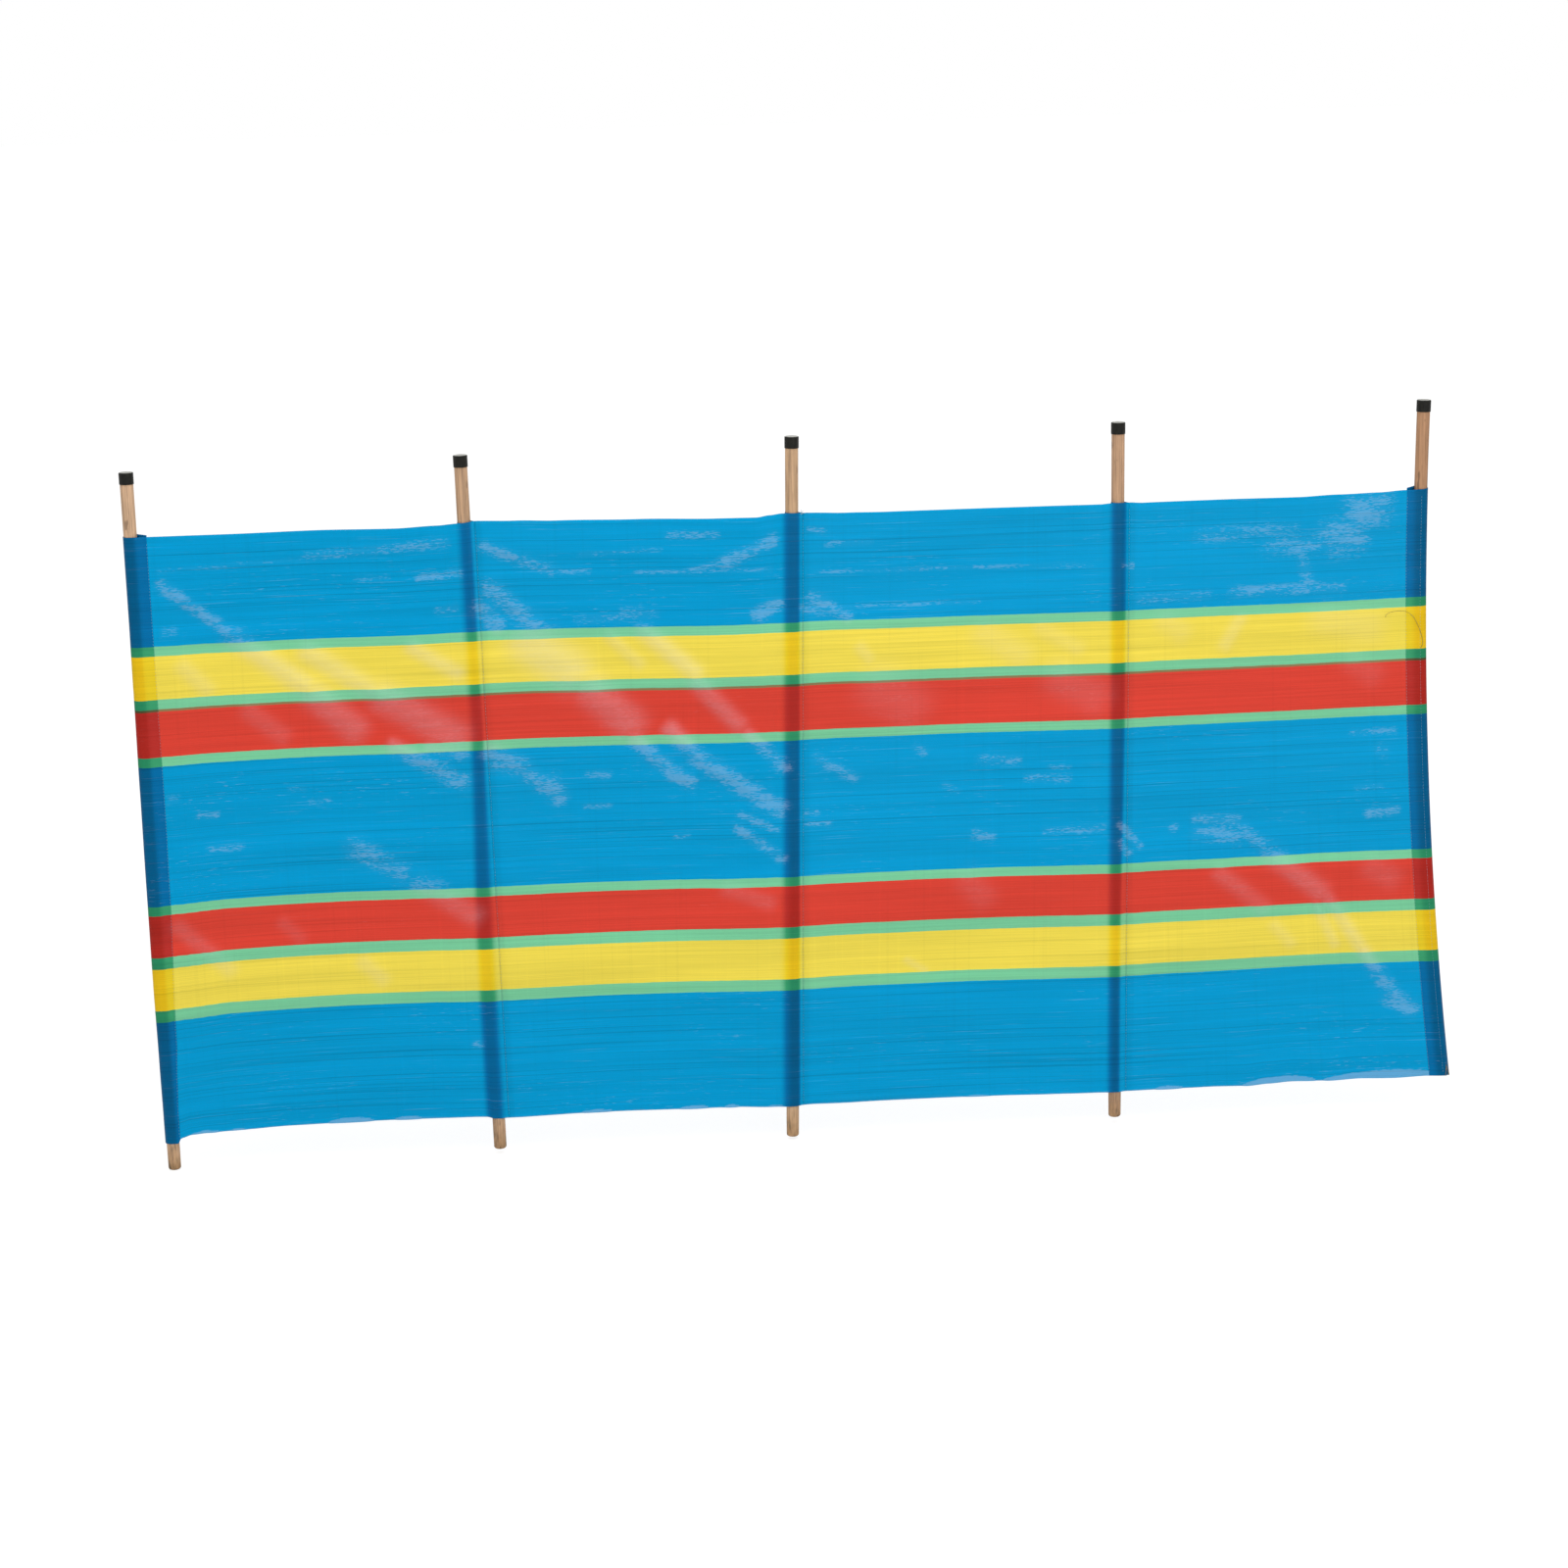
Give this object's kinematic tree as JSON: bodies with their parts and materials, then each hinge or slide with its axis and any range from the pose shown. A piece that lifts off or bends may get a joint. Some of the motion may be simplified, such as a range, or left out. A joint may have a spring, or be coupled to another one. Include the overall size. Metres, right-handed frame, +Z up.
{
  "type": "beach windbreak",
  "caption": "Striped woven plastic sheet held upright by round wooden poles in sewn pockets, folding at the poles into bays",
  "frame": {"origin": "middle of the flat foot of the third pole, the middle one", "axes": "+X to the right along the row of poles as seen from the smooth side, +Y to the side of the pole pockets, +Z up"},
  "size_m": [2.2388, 0.0248, 1.2491],
  "materials": {
    "pole_wood": "bare turned dowel, greyed and damp-stained at the foot",
    "cap_plastic": "black moulded plastic with a slight sheen",
    "striped_sheet": "glossy woven polyethylene tape cloth with blue, yellow, red and green stripes"
  },
  "bodies": {
    "second_bay": {"pole_2": "pole_wood", "cap_2": "cap_plastic", "pole_pocket_2": "striped_sheet", "pocket_seam_2": "striped_sheet", "bay_sheet_2": "striped_sheet", "pole_3": "pole_wood", "cap_3": "cap_plastic", "pole_pocket_3": "striped_sheet"},
    "first_bay": {"pole_1": "pole_wood", "cap_1": "cap_plastic", "end_hem_left": "striped_sheet", "bay_sheet_1": "striped_sheet"},
    "third_bay": {"pocket_seam_3": "striped_sheet", "bay_sheet_3": "striped_sheet", "pole_4": "pole_wood", "cap_4": "cap_plastic", "pole_pocket_4": "striped_sheet"},
    "fourth_bay": {"pocket_seam_4": "striped_sheet", "bay_sheet_4": "striped_sheet", "pole_5": "pole_wood", "cap_5": "cap_plastic", "end_hem_right": "striped_sheet"}
  },
  "joints": [
    {"name": "fold_at_pole_2", "type": "hinge", "parent": "second_bay", "child": "first_bay", "pos_m": [-0.50754, 0, 0.00399], "axis": [-0.007, 0, 1], "range_deg": [-85, 85]},
    {"name": "fold_at_pole_3", "type": "hinge", "parent": "second_bay", "child": "third_bay", "pos_m": [0, 0, 0], "axis": [0.0236, 0, 0.9997], "range_deg": [-85, 85]},
    {"name": "fold_at_pole_4", "type": "hinge", "parent": "third_bay", "child": "fourth_bay", "pos_m": [0.56553, 0, 0.00699], "axis": [0.0052, 0, 1], "range_deg": [-85, 85]}
  ]
}
